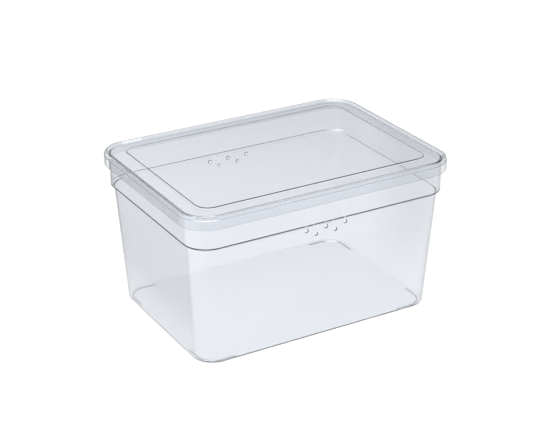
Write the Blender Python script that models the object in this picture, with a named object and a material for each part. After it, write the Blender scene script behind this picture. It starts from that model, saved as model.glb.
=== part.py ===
"""Clear plastic shoe box: a tapered tub with a stepped collar, and a lift-off lid.

Lengths are metres and +Z is up. The long sides run along X, and the origin is the centre of
the footprint at the bottom of the feet. Tub and lid are sheets of even wall. The outside of a
sheet is a path of bends, each with its inset from the collar, its height, its fillet and its
hub, which is how far inside the collar the corners of that outline have their centres. The
inside of the sheet is the same path moved in by the wall.
"""
import math

import bmesh
import bpy

# Overall size, over the lip of the lid and up to the crest round it
LENGTH = 0.3800
WIDTH = 0.2768
HEIGHT = 0.2094

# The reference outline is the outside of the collar; insets count inward from it
LIP_REACH = 0.0068
HALF_LENGTH = LENGTH / 2 - LIP_REACH
HALF_WIDTH = WIDTH / 2 - LIP_REACH
CORNER_HUB = 0.0315

# Walls and clearances
TUB_WALL = 0.0019
LID_WALL = 0.0012
LID_GAP = 0.0003
SKIRT_PLAY = 0.0048
EDGE_ROUND = 0.0004
ROOM_SHARE = 0.49

# Lid: raised centre, land round it, crest, shoulder, brow and the lip outside the rim
LAND_DEPTH = 0.0024
LAND_INSET = 0.0024
LAND_ROUND = 0.0012
PLATEAU_RISE = 0.0020
PLATEAU_INSET = 0.0201
PLATEAU_FLANK = 0.0007
PLATEAU_ROUND = 0.0002
PLATEAU_LEAD = 0.0040
PANEL_RADIUS = 0.0153
CREST_REACH = 0.0020
CREST_WIDTH = 0.0007
CREST_ROUND = 0.0012
SHOULDER_ROUND = 0.0017
SHOULDER_REACH = 0.0063
SHOULDER_DEPTH = 0.0015
SHOULDER_FOOT_ROUND = 0.0031
BROW_REACH = 0.0063
BROW_DEPTH = 0.0042
BROW_ROUND = 0.0003
LIP_TOP_DEPTH = 0.0044
LIP_ROUND = 0.0003
LIP_FOOT_DEPTH = 0.0169
LAND_Z = HEIGHT - LAND_DEPTH

# Tub: flanged rim, collar, sloped step, tapered wall and rounded bottom edge
RIM_Z = LAND_Z - LID_WALL - LID_GAP
RIM_REACH = LIP_REACH - LID_WALL - SKIRT_PLAY
RIM_WALL = 0.0024
RIM_ROUND = 0.0003
COLLAR_DRAFT = 0.0002
STEP_DEPTH = 0.0454
STEP_RISE = 0.0034
STEP_REACH = 0.0039
STEP_ROUND = 0.0010
STEP_Z = HEIGHT - STEP_DEPTH
BODY_RADIUS = 0.0292
BASE_INSET = 0.0132
BASE_ROUND = 0.0025

# Stacking feet: four L-shaped pads that sit round the raised centre of the lid below
FOOT_HEIGHT = 0.0010
FOOT_INSET = 0.0185
FOOT_MARGIN = 0.0005
FOOT_WIDTH = 0.0024
FOOT_ARM = 0.0200
FOOT_ROOT = 0.0008

# Vents: five holes in each long side, in a zigzag of two heights below the step
VENT_COUNT = 5
VENT_PITCH = 0.0140
VENT_HIGH_DROP = 0.0086
VENT_LOW_DROP = 0.0160
VENT_DIAMETER = 0.0050

# Facets
CORNER_STEPS = 12
ROUND_STEPS = 3
VENT_SIDES = 24
SMOOTH_ANGLE = math.radians(32)


def clear_scene():
    for item in list(bpy.data.objects):
        bpy.data.objects.remove(item, do_unlink=True)


def clear_plastic(name, colour, roughness, alpha):
    material = bpy.data.materials.new(name)
    material.use_nodes = True
    shader = material.node_tree.nodes["Principled BSDF"]
    shader.inputs["Base Color"].default_value = (*colour, 1)
    shader.inputs["Roughness"].default_value = roughness
    shader.inputs["Metallic"].default_value = 0
    shader.inputs["Alpha"].default_value = alpha
    material.diffuse_color = (*colour, alpha)
    return material


def corner_centres(hub):
    """Centre and first direction of each rounded corner, anticlockwise from +X +Y."""
    reach_x = HALF_LENGTH - hub
    reach_y = HALF_WIDTH - hub
    signs = ((1, 1), (-1, 1), (-1, -1), (1, -1))
    for turn, (side_x, side_y) in enumerate(signs):
        yield side_x * reach_x, side_y * reach_y, turn * math.pi / 2


def outline(inset, z, hub):
    """The rounded rectangle at one inset and height."""
    radius = hub - inset
    points = []
    for centre_x, centre_y, start in corner_centres(hub):
        for step in range(CORNER_STEPS + 1):
            angle = start + step / CORNER_STEPS * math.pi / 2
            x = centre_x + radius * math.cos(angle)
            y = centre_y + radius * math.sin(angle)
            points.append((x, y, z))
    return points


def heading(start, end):
    return math.atan2(end[1] - start[1], end[0] - start[0])


def turn_at(before, bend, after):
    """Signed change of heading at a bend, positive to the left."""
    change = heading(bend, after) - heading(before, bend)
    return (change + math.pi) % (2 * math.pi) - math.pi


def moved_in(path, wall):
    """The inside of a sheet, on the right of its outside, with the fillets that an even wall gives."""
    first_end = tuple(2 * a - b for a, b in zip(path[0], path[1]))
    last_end = tuple(2 * a - b for a, b in zip(path[-1], path[-2]))
    points = []
    for before, bend, after in zip([first_end, *path], path, [*path[1:], last_end]):
        inset, z, fillet, hub = bend
        turn = turn_at(before, bend, after)
        side = heading(before, bend) + turn / 2 - math.pi / 2
        reach = wall / math.cos(turn / 2)
        inner = max(fillet + math.copysign(wall, turn), EDGE_ROUND) if fillet else 0
        points.append((inset + reach * math.cos(side), z + reach * math.sin(side), inner, hub))
    return points


def arc_at(before, bend, after):
    """Points of the fillet at a bend, limited by the room that its two edges leave."""
    inset, z, fillet, hub = bend
    turn = turn_at(before, bend, after)
    into = heading(before, bend)
    room = ROOM_SHARE * min(math.dist(before[:2], bend[:2]), math.dist(bend[:2], after[:2]))
    radius = min(fillet, room / math.tan(abs(turn) / 2))
    setback = radius * math.tan(abs(turn) / 2)
    side = math.copysign(radius, turn)
    centre_inset = inset - setback * math.cos(into) - side * math.sin(into)
    centre_z = z - setback * math.sin(into) + side * math.cos(into)
    points = []
    for step in range(ROUND_STEPS + 1):
        angle = into + turn * step / ROUND_STEPS
        x = centre_inset + side * math.sin(angle)
        points.append((x, centre_z - side * math.cos(angle), hub))
    return points


def rounded(path):
    """Replace each bend of a path by its fillet; the two ends stay."""
    result = [(path[0][0], path[0][1], path[0][3])]
    for before, bend, after in zip(path, path[1:], path[2:]):
        result.extend(arc_at(before, bend, after))
    result.append((path[-1][0], path[-1][1], path[-1][3]))
    return result


def add_loft(mesh, path):
    """Skin a path from one flat cap to the other; the first cap faces away from the path."""
    rings = []
    for inset, z, hub in path:
        rings.append([mesh.verts.new(point) for point in outline(inset, z, hub)])
    count = len(rings[0])
    for low, high in zip(rings, rings[1:]):
        for i in range(count):
            j = (i + 1) % count
            mesh.faces.new((low[i], low[j], high[j], high[i]))
    mesh.faces.new(list(reversed(rings[0])))
    mesh.faces.new(rings[-1])


def finish_object(name, mesh, material, origin_z=0):
    bmesh.ops.recalc_face_normals(mesh, faces=mesh.faces)
    bmesh.ops.translate(mesh, verts=mesh.verts, vec=(0, 0, -origin_z))
    data = bpy.data.meshes.new(name)
    mesh.to_mesh(data)
    mesh.free()
    thing = bpy.data.objects.new(name, data)
    thing.location.z = origin_z
    bpy.context.scene.collection.objects.link(thing)
    data.materials.append(material)
    data.shade_smooth()
    data.set_sharp_from_angle(angle=SMOOTH_ANGLE)
    return thing


def tub_path():
    """Section of the tub from the middle of its underside, over the rim, to its floor."""
    collar = CORNER_HUB
    step = STEP_REACH + BODY_RADIUS
    base = BASE_INSET + BODY_RADIUS
    outside = [
        (FOOT_INSET - FOOT_MARGIN, FOOT_HEIGHT, 0, base),
        (BASE_INSET, FOOT_HEIGHT, BASE_ROUND, base),
        (STEP_REACH, STEP_Z - STEP_RISE, STEP_ROUND, step),
        (0, STEP_Z, STEP_ROUND, collar),
        (-COLLAR_DRAFT, RIM_Z, EDGE_ROUND, collar),
    ]
    flange = [
        (-COLLAR_DRAFT, RIM_Z - RIM_WALL, RIM_ROUND, collar),
        (-RIM_REACH, RIM_Z - RIM_WALL, RIM_ROUND, collar),
        (-RIM_REACH, RIM_Z, RIM_ROUND, collar),
    ]
    return rounded([*outside[:-1], *flange, *reversed(moved_in(outside, TUB_WALL))])


def lid_path():
    """Section of the lid from its underside, down and round the lip, to its raised centre."""
    rim = CORNER_HUB
    panel = PLATEAU_INSET + PANEL_RADIUS
    flank_top = PLATEAU_INSET + PLATEAU_FLANK
    plateau_z = LAND_Z + PLATEAU_RISE
    outside = [
        (-LIP_REACH, HEIGHT - LIP_FOOT_DEPTH, EDGE_ROUND, rim),
        (-LIP_REACH, HEIGHT - LIP_TOP_DEPTH, LIP_ROUND, rim),
        (-BROW_REACH, HEIGHT - BROW_DEPTH, BROW_ROUND, rim),
        (-SHOULDER_REACH, HEIGHT - SHOULDER_DEPTH, SHOULDER_FOOT_ROUND, rim),
        (-CREST_REACH - CREST_WIDTH, HEIGHT, SHOULDER_ROUND, rim),
        (-CREST_REACH, HEIGHT, CREST_ROUND, rim),
        (LAND_INSET, LAND_Z, LAND_ROUND, rim),
        (PLATEAU_INSET, LAND_Z, PLATEAU_ROUND, panel),
        (flank_top, plateau_z, PLATEAU_ROUND, panel),
        (flank_top + PLATEAU_LEAD, plateau_z, 0, panel),
    ]
    return rounded([*reversed(moved_in(outside, LID_WALL)), *outside])


def foot_points(centre_x, centre_y, start):
    """L-shaped pad round one corner, as (x, y) points."""
    outer = BASE_INSET + BODY_RADIUS - FOOT_INSET
    inner = outer - FOOT_WIDTH
    angles = [start + step / CORNER_STEPS * math.pi / 2 for step in range(CORNER_STEPS + 1)]
    arm_a = (math.sin(start) * FOOT_ARM, -math.cos(start) * FOOT_ARM)
    arm_b = (-math.cos(start) * FOOT_ARM, -math.sin(start) * FOOT_ARM)
    points = []
    for radius, order in ((outer, angles), (inner, angles[::-1])):
        arc = [(centre_x + radius * math.cos(a), centre_y + radius * math.sin(a)) for a in order]
        arms = (arm_a, arm_b) if order is angles else (arm_b, arm_a)
        points.append((arc[0][0] + arms[0][0], arc[0][1] + arms[0][1]))
        points.extend(arc)
        points.append((arc[-1][0] + arms[1][0], arc[-1][1] + arms[1][1]))
    return points


def add_prism(mesh, low_points, high_points):
    low = [mesh.verts.new(point) for point in low_points]
    high = [mesh.verts.new(point) for point in high_points]
    for i in range(len(low)):
        j = (i + 1) % len(low)
        mesh.faces.new((low[i], low[j], high[j], high[i]))
    mesh.faces.new(list(reversed(low)))
    mesh.faces.new(high)


def hide_helper(thing):
    thing.hide_render = True
    thing.display_type = "WIRE"


def make_feet(material):
    mesh = bmesh.new()
    top_z = FOOT_HEIGHT + FOOT_ROOT
    for centre_x, centre_y, start in corner_centres(BASE_INSET + BODY_RADIUS):
        flat = foot_points(centre_x, centre_y, start)
        add_prism(mesh, [(x, y, 0) for x, y in flat], [(x, y, top_z) for x, y in flat])
    feet = finish_object("feet_stock", mesh, material)
    hide_helper(feet)
    return feet


def make_vent_cutters(material):
    mesh = bmesh.new()
    for index in range(VENT_COUNT):
        centre_x = (index - (VENT_COUNT - 1) / 2) * VENT_PITCH
        drop = VENT_LOW_DROP if index % 2 else VENT_HIGH_DROP
        circle = []
        for side in range(VENT_SIDES):
            angle = side / VENT_SIDES * 2 * math.pi
            x = centre_x + VENT_DIAMETER / 2 * math.cos(angle)
            circle.append((x, STEP_Z - drop + VENT_DIAMETER / 2 * math.sin(angle)))
        near = [(x, -HALF_WIDTH, z) for x, z in circle]
        far = [(x, HALF_WIDTH, z) for x, z in circle]
        add_prism(mesh, near, far)
    cutters = finish_object("vent_cutters", mesh, material)
    hide_helper(cutters)
    return cutters


def combine(target, other, operation):
    modifier = target.modifiers.new(other.name, "BOOLEAN")
    modifier.operation = operation
    modifier.solver = "EXACT"
    modifier.object = other


def make_tub():
    material = clear_plastic("clear_tub", (0.86, 0.89, 0.93), 0.06, 0.28)
    mesh = bmesh.new()
    add_loft(mesh, tub_path())
    tub = finish_object("tub", mesh, material)
    combine(tub, make_feet(material), "UNION")
    combine(tub, make_vent_cutters(material), "DIFFERENCE")


def make_lid():
    material = clear_plastic("clear_lid", (0.84, 0.87, 0.92), 0.06, 0.30)
    mesh = bmesh.new()
    add_loft(mesh, lid_path())
    finish_object("lid", mesh, material, RIM_Z)


clear_scene()
make_tub()
make_lid()
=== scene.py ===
"""Clear plastic shoe box in a plain pale studio, seen from the front left and above."""
import math

import bmesh
import bpy
from mathutils import Euler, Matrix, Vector


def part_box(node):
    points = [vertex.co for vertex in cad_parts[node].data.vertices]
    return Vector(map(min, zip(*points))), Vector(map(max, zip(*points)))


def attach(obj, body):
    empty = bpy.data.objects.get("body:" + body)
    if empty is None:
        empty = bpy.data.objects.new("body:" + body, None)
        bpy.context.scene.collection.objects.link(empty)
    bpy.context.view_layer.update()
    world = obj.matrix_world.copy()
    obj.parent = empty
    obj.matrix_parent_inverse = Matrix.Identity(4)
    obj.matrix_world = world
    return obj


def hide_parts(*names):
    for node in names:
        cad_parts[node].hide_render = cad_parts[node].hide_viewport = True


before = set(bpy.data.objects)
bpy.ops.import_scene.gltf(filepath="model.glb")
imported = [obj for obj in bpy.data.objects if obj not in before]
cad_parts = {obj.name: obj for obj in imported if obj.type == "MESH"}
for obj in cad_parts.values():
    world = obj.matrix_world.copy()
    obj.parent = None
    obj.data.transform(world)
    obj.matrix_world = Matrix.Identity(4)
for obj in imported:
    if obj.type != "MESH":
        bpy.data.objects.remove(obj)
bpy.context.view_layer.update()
TUB_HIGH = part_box("tub")[1]
LID_LOW, LID_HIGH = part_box("lid")

# The reference outline is the outside of the collar; insets count inward from it
HEIGHT = LID_HIGH.z
LIP_REACH = 0.0068
HALF_LENGTH = LID_HIGH.x - LIP_REACH
HALF_WIDTH = LID_HIGH.y - LIP_REACH
CORNER_HUB = 0.0315

# Walls and fillets
TUB_WALL = 0.0019
LID_WALL = 0.0012
EDGE_ROUND = 0.0004
FILLET_SHARE = 0.49

# Lid: raised centre, land round it, crest, shoulder, brow and the lip outside the rim
LAND_DEPTH = 0.0024
LAND_Z = HEIGHT - LAND_DEPTH
LAND_INSET = 0.0024
LAND_ROUND = 0.0012
PLATEAU_RISE = 0.0020
PLATEAU_INSET = 0.0201
PLATEAU_FLANK = 0.0007
PLATEAU_ROUND = 0.0001
PLATEAU_LEAD = 0.0040
PANEL_RADIUS = 0.0178
CREST_REACH = 0.0020
CREST_WIDTH = 0.0007
CREST_ROUND = 0.0012
SHOULDER_ROUND = 0.0017
SHOULDER_REACH = 0.0063
SHOULDER_DEPTH = 0.0015
SHOULDER_FOOT_ROUND = 0.0031
BROW_REACH = 0.0063
BROW_DEPTH = 0.0042
BROW_ROUND = 0.0003
LIP_TOP_DEPTH = 0.0044
LIP_ROUND = 0.0003
LIP_FOOT_Z = LID_LOW.z

# Under the raised centre, two bends of the lid lie further out, which darkens the line round it
FLANK_BENDS = (7, 8)
FLANK_SHIFT = -0.0006

# Tub: flanged rim, collar, sloped step, tapered wall and rounded bottom edge
RIM_Z = TUB_HIGH.z
RIM_REACH = TUB_HIGH.x - HALF_LENGTH
RIM_WALL = 0.0024
RIM_ROUND = 0.0003
COLLAR_DRAFT = 0.0002
STEP_DEPTH = 0.0454
STEP_Z = HEIGHT - STEP_DEPTH
STEP_RISE = 0.0034
STEP_REACH = 0.0039
STEP_ROUND = 0.0004
TUB_INNER_ROUND = 0.0004
BODY_RADIUS = 0.0292
BASE_INSET = 0.0132
BASE_ROUND = 0.0025

# Inside the step, two bends drop toward the back, so that the step's line shows through the lid
STEP_BENDS = (2, 3)
STEP_DROPS = (0.0006, 0.0014)
STEP_DROP_SHARES = (0.76, 0.94)

# Stacking feet
FOOT_HEIGHT = 0.0010
FOOT_INSET = 0.0185
FOOT_MARGIN = 0.0005
FOOT_WIDTH = 0.0024
FOOT_ARM = 0.0200
FOOT_ROOT = 0.0008

# Vents: cones that open outward and have the vent's diameter at one depth
VENT_COUNT = 5
VENT_PITCH = 0.0140
VENT_HIGH_DROP = 0.0086
VENT_LOW_DROP = 0.0160
VENT_DIAMETER = 0.0050
VENT_CONE_SHARE = 0.7
VENT_TRUE_DEPTH = 0.0055
VENT_REACH = 0.0080

# Facets and shading
CORNER_STEPS = 40
ROUND_STEPS = 8
VENT_SIDES = 40
FLAT_WEIGHT = 100

# Plastic: two tints in soft clouds, a fine grain in the gloss, and greyer, rougher soles under the
# feet
PLASTIC_TINT = (0.925, 0.940, 0.965)
PLASTIC_TINT_DEEP = (0.917, 0.933, 0.958)
PLASTIC_IOR = 1.55
PLASTIC_ROUGHNESS = 0.015
CLOUD_SCALE = 6
GRAIN_SCALE = 40
SOLE_TOP = 0.0004
SOLE_TINT = (0.45, 0.46, 0.48)
SOLE_ROUGHNESS = 0.3
SHADOW_TINT = (0.97, 0.975, 0.98)
MIX_COLOUR_INPUTS = (6, 7)
MIX_COLOUR_OUTPUT = 2
LIGHT_BOUNCES = 32

# Floor: the shares of its glow that mirror images show, with painted light round the box that fades
# toward the camera and a painted shade at its left, and the painted shade seen through its right wall
FLOOR_REACH = 12
FLOOR_DROP = 0.0002
FLOOR_TINT = (0.25, 0.25, 0.25)
FLOOR_GLOW = 0.90
MIRRORED_SHARE = 0.25
PAINTED_LIGHT_POOL_SHARE = 0.70
PAINTED_LIGHT_POOL_SPAN_Y = (-0.45, -0.20)
PAINTED_LEFT_SHADE_SPAN_X = (-0.23, -0.175)
PAINTED_LEFT_SHADE_SPAN_SLANT = (-0.32, -0.26)
# Painted shade on the floor's glow, seen only through the right wall
SHADE_SLOPE_SHARE = 0.69
SHADE_SPAN_SLANT = (0.13, 0.22)
SHADE_SPAN_Y = (-0.10, 0.14)
SHADE_LOSS_SHARE = 0.15

# Room: its colours by the height of a direction, dimmer behind the camera and high at the right
HORIZON_COLOUR = (1, 1, 1)
BAND_COLOUR = (0.03, 0.03, 0.035)
CEILING_COLOUR = (0.56, 0.57, 0.59)
ROOM_COLOURS = (HORIZON_COLOUR, BAND_COLOUR, BAND_COLOUR, CEILING_COLOUR)
ROOM_HEIGHT_SHARES = (0.02, 0.14, 0.30, 0.40)
ROOM_DEPTH_SHARES = (-0.6, 0.2)
ROOM_BEHIND_SHARE = 0.5
ROOM_RIGHT_SHARES = (0.30, 0.52)
RIGHT_FOOT_SHARE = 0.32
RIGHT_LOSS_SHARE = 0.45

# Softbox
SOFTBOX_PLACE = Vector((0, 0.4, 2.4))
SOFTBOX_SIZE = (1.6, 1.2)
SOFTBOX_POWER = 20

# Camera: place, turns and focal length as fitted to the photograph's frame
CAMERA_PLACE = Vector((-0.88627, -1.53490, 0.93456))
CAMERA_YAW = math.radians(30.015)
CAMERA_PITCH = math.radians(-24.859)
CAMERA_ROLL = math.radians(-0.236)
FOCUS_PIXELS = 1493.8
IMAGE_WIDTH_PIXELS = 550
SENSOR_WIDTH = 36


def corner_centres(hub):
    """Centre and first direction of each rounded corner, anticlockwise from +X +Y."""
    reach_x = HALF_LENGTH - hub
    reach_y = HALF_WIDTH - hub
    signs = ((1, 1), (-1, 1), (-1, -1), (1, -1))
    for turn, (side_x, side_y) in enumerate(signs):
        yield side_x * reach_x, side_y * reach_y, turn * math.pi / 2


def outline(inset, z, hub):
    """The rounded rectangle at one inset and height."""
    radius = hub - inset
    points = []
    for centre_x, centre_y, start in corner_centres(hub):
        for step in range(CORNER_STEPS + 1):
            angle = start + step / CORNER_STEPS * math.pi / 2
            x = centre_x + radius * math.cos(angle)
            y = centre_y + radius * math.sin(angle)
            points.append((x, y, z))
    return points


def heading(start, end):
    """Direction from one point of a section to the next."""
    return math.atan2(end[1] - start[1], end[0] - start[0])


def turn_at(before, bend, after):
    """Signed change of heading at a bend, positive to the left."""
    change = heading(bend, after) - heading(before, bend)
    return (change + math.pi) % (2 * math.pi) - math.pi


def moved_in(path, wall, inner_round=None):
    """The inside of a sheet, on the right of its outside, with an even wall's fillets or one size."""
    first_end = tuple(2 * a - b for a, b in zip(path[0], path[1]))
    last_end = tuple(2 * a - b for a, b in zip(path[-1], path[-2]))
    points = []
    for before, bend, after in zip([first_end, *path], path, [*path[1:], last_end]):
        inset, z, fillet, hub = bend
        turn = turn_at(before, bend, after)
        side = heading(before, bend) + turn / 2 - math.pi / 2
        reach = wall / math.cos(turn / 2)
        inner = max(fillet + math.copysign(wall, turn), EDGE_ROUND) if fillet else 0
        if inner_round and fillet:
            inner = inner_round
        points.append((inset + reach * math.cos(side), z + reach * math.sin(side), inner, hub))
    return points


def shifted(path, shifts):
    """Move some bends of a path; a shift is the bend's number, its way inward and its way up."""
    result = list(path)
    for bend, inward, up in shifts:
        inset, z, fillet, hub = result[bend]
        result[bend] = (inset + inward, z + up, fillet, hub)
    return result


def arc_at(before, bend, after):
    """Points of the fillet at a bend, limited by the room that its two edges leave."""
    inset, z, fillet, hub = bend
    turn = turn_at(before, bend, after)
    into = heading(before, bend)
    room = FILLET_SHARE * min(math.dist(before[:2], bend[:2]), math.dist(bend[:2], after[:2]))
    radius = min(fillet, room / math.tan(abs(turn) / 2))
    setback = radius * math.tan(abs(turn) / 2)
    side = math.copysign(radius, turn)
    centre_inset = inset - setback * math.cos(into) - side * math.sin(into)
    centre_z = z - setback * math.sin(into) + side * math.cos(into)
    points = []
    for step in range(ROUND_STEPS + 1):
        angle = into + turn * step / ROUND_STEPS
        x = centre_inset + side * math.sin(angle)
        points.append((x, centre_z - side * math.cos(angle), hub))
    return points


def rounded(path):
    """Replace each bend of a path by its fillet; the two ends stay."""
    result = [(path[0][0], path[0][1], path[0][3])]
    for before, bend, after in zip(path, path[1:], path[2:]):
        result.extend(arc_at(before, bend, after))
    result.append((path[-1][0], path[-1][1], path[-1][3]))
    return result


def blended(front, back):
    """One ring between the front's section and the back's, by how far back each point is."""
    first, last = STEP_DROP_SHARES
    points = []
    for (x, y, z), (back_x, back_y, back_z) in zip(outline(*front), outline(*back)):
        along = (y / HALF_WIDTH - first) / (last - first)
        along = max(0, min(1, along))
        share = along * along * (3 - 2 * along)
        x += (back_x - x) * share
        y += (back_y - y) * share
        z += (back_z - z) * share
        points.append((x, y, z))
    return points


def add_loft(mesh, path, back_path=None):
    """Skin a path from one flat cap to the other; the back of the box may follow its own path."""
    rings = []
    for front, back in zip(path, back_path or path):
        rings.append([mesh.verts.new(point) for point in blended(front, back)])
    count = len(rings[0])
    for low, high in zip(rings, rings[1:]):
        for i in range(count):
            j = (i + 1) % count
            mesh.faces.new((low[i], low[j], high[j], high[i]))
    mesh.faces.new(list(reversed(rings[0])))
    mesh.faces.new(rings[-1])


def add_prism(mesh, low_points, high_points):
    """Close the space between two outlines with the same number of points."""
    low = [mesh.verts.new(point) for point in low_points]
    high = [mesh.verts.new(point) for point in high_points]
    for i in range(len(low)):
        j = (i + 1) % len(low)
        mesh.faces.new((low[i], low[j], high[j], high[i]))
    mesh.faces.new(list(reversed(low)))
    mesh.faces.new(high)


def to_object(name, mesh, material):
    """Turn a finished mesh into a smooth-shaded object."""
    bmesh.ops.recalc_face_normals(mesh, faces=mesh.faces)
    data = bpy.data.meshes.new(name)
    mesh.to_mesh(data)
    mesh.free()
    thing = bpy.data.objects.new(name, data)
    bpy.context.scene.collection.objects.link(thing)
    data.materials.append(material)
    data.shade_smooth()
    return thing


def weigh_normals(thing):
    """Keep the large flat faces flat where small fillets meet them."""
    modifier = thing.modifiers.new("even_flats", "WEIGHTED_NORMAL")
    modifier.mode = "FACE_AREA"
    modifier.weight = FLAT_WEIGHT
    modifier.keep_sharp = True


def combine(target, other, operation):
    """Join or cut one object with another, which is hidden itself."""
    modifier = target.modifiers.new(other.name, "BOOLEAN")
    modifier.operation = operation
    modifier.solver = "EXACT"
    modifier.object = other
    other.hide_render = True
    other.hide_viewport = True


def tub_path(step_drops=()):
    """Section of the tub from its underside, over the rim, to the floor inside."""
    collar = CORNER_HUB
    step = STEP_REACH + BODY_RADIUS
    base = BASE_INSET + BODY_RADIUS
    outside = [
        (FOOT_INSET - FOOT_MARGIN, FOOT_HEIGHT, 0, base),
        (BASE_INSET, FOOT_HEIGHT, BASE_ROUND, base),
        (STEP_REACH, STEP_Z - STEP_RISE, STEP_ROUND, step),
        (0, STEP_Z, STEP_ROUND, collar),
        (-COLLAR_DRAFT, RIM_Z, EDGE_ROUND, collar),
    ]
    flange = [
        (-COLLAR_DRAFT, RIM_Z - RIM_WALL, RIM_ROUND, collar),
        (-RIM_REACH, RIM_Z - RIM_WALL, RIM_ROUND, collar),
        (-RIM_REACH, RIM_Z, RIM_ROUND, collar),
    ]
    inside = moved_in(outside, TUB_WALL, TUB_INNER_ROUND)
    shifts = [(bend, 0, -drop) for bend, drop in zip(STEP_BENDS, step_drops)]
    return rounded([*outside[:-1], *flange, *reversed(shifted(inside, shifts))])


def lid_path():
    """Section of the lid from its underside, down and round the lip, to its raised centre."""
    rim = CORNER_HUB
    panel = PLATEAU_INSET + PANEL_RADIUS
    flank_top = PLATEAU_INSET + PLATEAU_FLANK
    plateau_z = LAND_Z + PLATEAU_RISE
    outside = [
        (-LIP_REACH, LIP_FOOT_Z, EDGE_ROUND, rim),
        (-LIP_REACH, HEIGHT - LIP_TOP_DEPTH, LIP_ROUND, rim),
        (-BROW_REACH, HEIGHT - BROW_DEPTH, BROW_ROUND, rim),
        (-SHOULDER_REACH, HEIGHT - SHOULDER_DEPTH, SHOULDER_FOOT_ROUND, rim),
        (-CREST_REACH - CREST_WIDTH, HEIGHT, SHOULDER_ROUND, rim),
        (-CREST_REACH, HEIGHT, CREST_ROUND, rim),
        (LAND_INSET, LAND_Z, LAND_ROUND, rim),
        (PLATEAU_INSET, LAND_Z, PLATEAU_ROUND, panel),
        (flank_top, plateau_z, PLATEAU_ROUND, panel),
        (flank_top + PLATEAU_LEAD, plateau_z, 0, panel),
    ]
    inside = moved_in(outside, LID_WALL)
    shifts = [(bend, FLANK_SHIFT, 0) for bend in FLANK_BENDS]
    return rounded([*reversed(shifted(inside, shifts)), *outside])


def foot_points(centre_x, centre_y, start):
    """Outline of one L-shaped foot, an arc round the corner with a straight arm at each end."""
    outer = BASE_INSET + BODY_RADIUS - FOOT_INSET
    inner = outer - FOOT_WIDTH
    angles = [start + step / CORNER_STEPS * math.pi / 2 for step in range(CORNER_STEPS + 1)]
    arm_a = (math.sin(start) * FOOT_ARM, -math.cos(start) * FOOT_ARM)
    arm_b = (-math.cos(start) * FOOT_ARM, -math.sin(start) * FOOT_ARM)
    points = []
    for radius, order in ((outer, angles), (inner, angles[::-1])):
        arc = [(centre_x + radius * math.cos(a), centre_y + radius * math.sin(a)) for a in order]
        arms = (arm_a, arm_b) if order is angles else (arm_b, arm_a)
        points.append((arc[0][0] + arms[0][0], arc[0][1] + arms[0][1]))
        points.extend(arc)
        points.append((arc[-1][0] + arms[1][0], arc[-1][1] + arms[1][1]))
    return points


def noise_node(tree, place, scale):
    node = tree.nodes.new("ShaderNodeTexNoise")
    node.inputs["Scale"].default_value = scale
    tree.links.new(place, node.inputs["Vector"])
    return node.outputs["Fac"]


def set_sockets(tree, sockets, values):
    """Link or set each socket, by whether its value is another node's output."""
    for socket, value in zip(sockets, values):
        if isinstance(value, bpy.types.NodeSocket):
            tree.links.new(value, socket)
        else:
            socket.default_value = value


def mix_node(tree, share, first, second):
    node = tree.nodes.new("ShaderNodeMix")
    node.data_type = "RGBA"
    tree.links.new(share, node.inputs["Factor"])
    set_sockets(tree, [node.inputs[place] for place in MIX_COLOUR_INPUTS], (first, second))
    return node.outputs[MIX_COLOUR_OUTPUT]


def math_node(tree, operation, first, second):
    node = tree.nodes.new("ShaderNodeMath")
    node.operation = operation
    set_sockets(tree, node.inputs, (first, second))
    return node.outputs[0]


def product(tree, first, second):
    return math_node(tree, "MULTIPLY", first, second)


def rest_of(tree, share):
    """What a share leaves of one."""
    return math_node(tree, "SUBTRACT", 1, share)


def ramp_node(tree, source, span):
    """A smooth rise from 0 to 1 over a span."""
    node = tree.nodes.new("ShaderNodeMapRange")
    node.interpolation_type = "SMOOTHSTEP"
    node.inputs["From Min"].default_value, node.inputs["From Max"].default_value = span
    tree.links.new(source, node.inputs["Value"])
    return node.outputs["Result"]


def split_node(tree, source):
    """The X, Y and Z of a place or direction."""
    node = tree.nodes.new("ShaderNodeSeparateXYZ")
    tree.links.new(source, node.inputs[0])
    return node.outputs


def add_shadow_mix(tree, shader):
    """Let light through the plastic to the floor, so that its shadow stays pale."""
    shadow = tree.nodes.new("ShaderNodeBsdfTransparent")
    shadow.inputs["Color"].default_value = (*SHADOW_TINT, 1)
    path = tree.nodes.new("ShaderNodeLightPath")
    mix = tree.nodes.new("ShaderNodeMixShader")
    tree.links.new(path.outputs["Is Shadow Ray"], mix.inputs[0])
    tree.links.new(shader.outputs[0], mix.inputs[1])
    tree.links.new(shadow.outputs[0], mix.inputs[2])
    tree.links.new(mix.outputs[0], tree.nodes["Material Output"].inputs["Surface"])


def clear_plastic(name):
    """Clear gloss plastic with faint clouds and grain, and the soles of the feet greyer and rougher.
    """
    material = bpy.data.materials.new(name)
    material.use_nodes = True
    tree = material.node_tree
    shader = tree.nodes["Principled BSDF"]
    place = tree.nodes.new("ShaderNodeTexCoord").outputs["Object"]
    cloud = noise_node(tree, place, CLOUD_SCALE)
    tint = mix_node(tree, cloud, (*PLASTIC_TINT, 1), (*PLASTIC_TINT_DEEP, 1))
    # The soles of the feet, below SOLE_TOP, get a darker grey tint and more roughness
    sole = math_node(tree, "LESS_THAN", split_node(tree, place)["Z"], SOLE_TOP)
    tree.links.new(mix_node(tree, sole, tint, (*SOLE_TINT, 1)), shader.inputs["Base Color"])
    rough = product(tree, noise_node(tree, place, GRAIN_SCALE), PLASTIC_ROUGHNESS)
    sole_roughening = product(tree, sole, SOLE_ROUGHNESS)
    tree.links.new(math_node(tree, "ADD", rough, sole_roughening), shader.inputs["Roughness"])
    shader.inputs["IOR"].default_value = PLASTIC_IOR
    shader.inputs["Transmission Weight"].default_value = 1
    add_shadow_mix(tree, shader)
    return material


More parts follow.
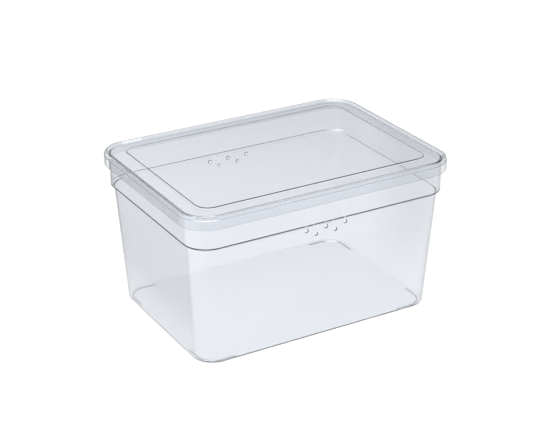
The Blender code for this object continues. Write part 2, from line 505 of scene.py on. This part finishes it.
def make_feet(material):
    mesh = bmesh.new()
    top = FOOT_HEIGHT + FOOT_ROOT
    for centre_x, centre_y, start in corner_centres(BASE_INSET + BODY_RADIUS):
        flat = foot_points(centre_x, centre_y, start)
        add_prism(mesh, [(x, y, 0) for x, y in flat], [(x, y, top) for x, y in flat])
    return to_object("feet_stock", mesh, material)


def vent_circle(centre_x, centre_z, side, depth):
    """One end of a vent's cone, at a depth inward from the plane of the collar's long side."""
    radius = VENT_DIAMETER / 2 + VENT_CONE_SHARE * (VENT_TRUE_DEPTH - depth)
    y = side * (HALF_WIDTH - depth)
    points = []
    for step in range(VENT_SIDES):
        angle = step / VENT_SIDES * 2 * math.pi
        points.append((centre_x + radius * math.cos(angle), y, centre_z + radius * math.sin(angle)))
    return points


def make_vents(material):
    mesh = bmesh.new()
    for index in range(VENT_COUNT):
        centre_x = (index - (VENT_COUNT - 1) / 2) * VENT_PITCH
        centre_z = STEP_Z - (VENT_LOW_DROP if index % 2 else VENT_HIGH_DROP)
        for side in (-1, 1):
            wide_end = vent_circle(centre_x, centre_z, side, 0)
            slim_end = vent_circle(centre_x, centre_z, side, VENT_REACH)
            add_prism(mesh, wide_end, slim_end)
    return to_object("vent_cutters", mesh, material)


def make_tub(material):
    mesh = bmesh.new()
    add_loft(mesh, tub_path(), tub_path(STEP_DROPS))
    tub = to_object("tub_moulding", mesh, material)
    feet = make_feet(material)
    combine(tub, feet, "UNION")
    vents = make_vents(material)
    combine(tub, vents, "DIFFERENCE")
    weigh_normals(tub)
    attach(tub, "tub")
    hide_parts("tub")


def make_lid(material):
    mesh = bmesh.new()
    add_loft(mesh, lid_path())
    lid = to_object("lid_moulding", mesh, material)
    weigh_normals(lid)
    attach(lid, "lid")
    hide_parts("lid")


def mirrored_share(tree, place):
    """How much of the floor's glow a mirror image shows: more where light is painted round the box,
    less in the painted shade at its left.
    """
    # Painted shade: mirror images see the floor's glow darker at the box's left
    right = ramp_node(tree, place["X"], PAINTED_LEFT_SHADE_SPAN_X)
    slant = math_node(tree, "ADD", place["X"], place["Y"])
    painted_left_shade = product(tree, rest_of(tree, right), ramp_node(tree, slant, PAINTED_LEFT_SHADE_SPAN_SLANT))
    # Painted light: mirror images see the floor's glow brighter round the box, fading toward the
    # camera
    painted_light_pool = product(tree, ramp_node(tree, place["Y"], PAINTED_LIGHT_POOL_SPAN_Y), rest_of(tree, painted_left_shade))
    gain = product(tree, painted_light_pool, PAINTED_LIGHT_POOL_SHARE - MIRRORED_SHARE)
    return math_node(tree, "ADD", gain, MIRRORED_SHARE)


def passed_share_with_painted_shade(tree, place):
    """How much of the glow shows through the plastic: a painted shade makes it a little less behind
    the right wall.
    """
    # Painted shade: the floor's glow seen through the plastic is darker behind the right wall
    slope = product(tree, place["Y"], SHADE_SLOPE_SHARE)
    slant = math_node(tree, "SUBTRACT", place["X"], slope)
    aside = ramp_node(tree, slant, SHADE_SPAN_SLANT)
    beyond = ramp_node(tree, place["Y"], SHADE_SPAN_Y)
    return rest_of(tree, product(tree, product(tree, aside, beyond), SHADE_LOSS_SHARE))


def floor_glow(tree):
    """Strength of the floor's glow, which only the camera, mirror images and the plastic see."""
    path = tree.nodes.new("ShaderNodeLightPath").outputs
    where = tree.nodes.new("ShaderNodeNewGeometry")
    place = split_node(tree, where.outputs["Position"])
    # This share carries the painted light round the box and the painted shade at its left
    share = mirrored_share(tree, place)
    through = product(tree, path["Is Transmission Ray"], passed_share_with_painted_shade(tree, place))
    mirrored = product(tree, path["Is Glossy Ray"], share)
    shown = math_node(tree, "MAXIMUM", path["Is Camera Ray"], through)
    shown = math_node(tree, "MAXIMUM", shown, mirrored)
    turned = math_node(tree, "GREATER_THAN", path["Glossy Depth"], 0)
    kept = rest_of(tree, product(tree, turned, rest_of(tree, share)))
    return product(tree, product(tree, shown, kept), FLOOR_GLOW)


def pale_floor(name):
    material = bpy.data.materials.new(name)
    material.use_nodes = True
    tree = material.node_tree
    tree.nodes.clear()
    diffuse = tree.nodes.new("ShaderNodeBsdfDiffuse")
    diffuse.inputs["Color"].default_value = (*FLOOR_TINT, 1)
    glow = tree.nodes.new("ShaderNodeEmission")
    tree.links.new(floor_glow(tree), glow.inputs["Strength"])
    add = tree.nodes.new("ShaderNodeAddShader")
    tree.links.new(diffuse.outputs[0], add.inputs[0])
    tree.links.new(glow.outputs[0], add.inputs[1])
    out = tree.nodes.new("ShaderNodeOutputMaterial")
    tree.links.new(add.outputs[0], out.inputs["Surface"])
    return material


def make_floor():
    mesh = bmesh.new()
    bmesh.ops.create_grid(mesh, x_segments=1, y_segments=1, size=FLOOR_REACH)
    data = bpy.data.meshes.new("floor")
    mesh.to_mesh(data)
    mesh.free()
    data.materials.append(pale_floor("pale_floor"))
    floor = bpy.data.objects.new("floor", data)
    floor.location.z = -FLOOR_DROP
    bpy.context.scene.collection.objects.link(floor)


def room_colour(tree, height):
    ramp = tree.nodes.new("ShaderNodeValToRGB")
    stops = ramp.color_ramp.elements
    for place in ROOM_HEIGHT_SHARES[1:-1]:
        stops.new(place)
    for stop, place, colour in zip(stops, ROOM_HEIGHT_SHARES, ROOM_COLOURS):
        stop.position = place
        stop.color = (*colour, 1)
    tree.links.new(height, ramp.inputs[0])
    return ramp.outputs[0]


def room_strength(tree, direction):
    depth = ramp_node(tree, direction["Y"], ROOM_DEPTH_SHARES)
    gain = product(tree, depth, 1 - ROOM_BEHIND_SHARE)
    behind = math_node(tree, "ADD", gain, ROOM_BEHIND_SHARE)
    right = ramp_node(tree, direction["X"], ROOM_RIGHT_SHARES)
    high = math_node(tree, "GREATER_THAN", direction["Z"], RIGHT_FOOT_SHARE)
    kept = rest_of(tree, product(tree, product(tree, high, right), RIGHT_LOSS_SHARE))
    return product(tree, behind, kept)


def make_world():
    world = bpy.data.worlds.new("studio")
    bpy.context.scene.world = world
    world.use_nodes = True
    tree = world.node_tree
    tree.nodes.clear()
    where = tree.nodes.new("ShaderNodeTexCoord")
    direction = split_node(tree, where.outputs["Generated"])
    back = tree.nodes.new("ShaderNodeBackground")
    tree.links.new(room_colour(tree, direction["Z"]), back.inputs["Color"])
    tree.links.new(room_strength(tree, direction), back.inputs["Strength"])
    out = tree.nodes.new("ShaderNodeOutputWorld")
    tree.links.new(back.outputs[0], out.inputs["Surface"])


def make_softbox():
    data = bpy.data.lights.new("softbox", "AREA")
    data.shape = "RECTANGLE"
    data.size, data.size_y = SOFTBOX_SIZE
    data.energy = SOFTBOX_POWER
    lamp = bpy.data.objects.new("softbox", data)
    lamp.location = SOFTBOX_PLACE
    lamp.rotation_euler = (-SOFTBOX_PLACE).to_track_quat("-Z", "Y").to_euler()
    lamp.visible_glossy = False
    bpy.context.scene.collection.objects.link(lamp)


def make_camera():
    data = bpy.data.cameras.new("camera")
    camera = bpy.data.objects.new("camera", data)
    bpy.context.scene.collection.objects.link(camera)
    data.sensor_width = SENSOR_WIDTH
    data.lens = SENSOR_WIDTH * FOCUS_PIXELS / IMAGE_WIDTH_PIXELS
    camera.location = CAMERA_PLACE
    turn = Euler((math.pi / 2 + CAMERA_PITCH, 0, -CAMERA_YAW), "XYZ").to_matrix()
    roll = Euler((0, 0, CAMERA_ROLL), "XYZ").to_matrix()
    camera.rotation_euler = (turn @ roll).to_euler()
    bpy.context.scene.camera = camera


def set_view():
    """Standard colours, and enough bounces for light to pass every wall."""
    scene = bpy.context.scene
    scene.view_settings.view_transform = "Standard"
    scene.cycles.max_bounces = LIGHT_BOUNCES
    scene.cycles.glossy_bounces = LIGHT_BOUNCES
    scene.cycles.transmission_bounces = LIGHT_BOUNCES


plastic = clear_plastic("clear_plastic")
make_tub(plastic)
make_lid(plastic)
make_floor()
make_world()
make_softbox()
make_camera()
set_view()

bpy.context.view_layer.update()
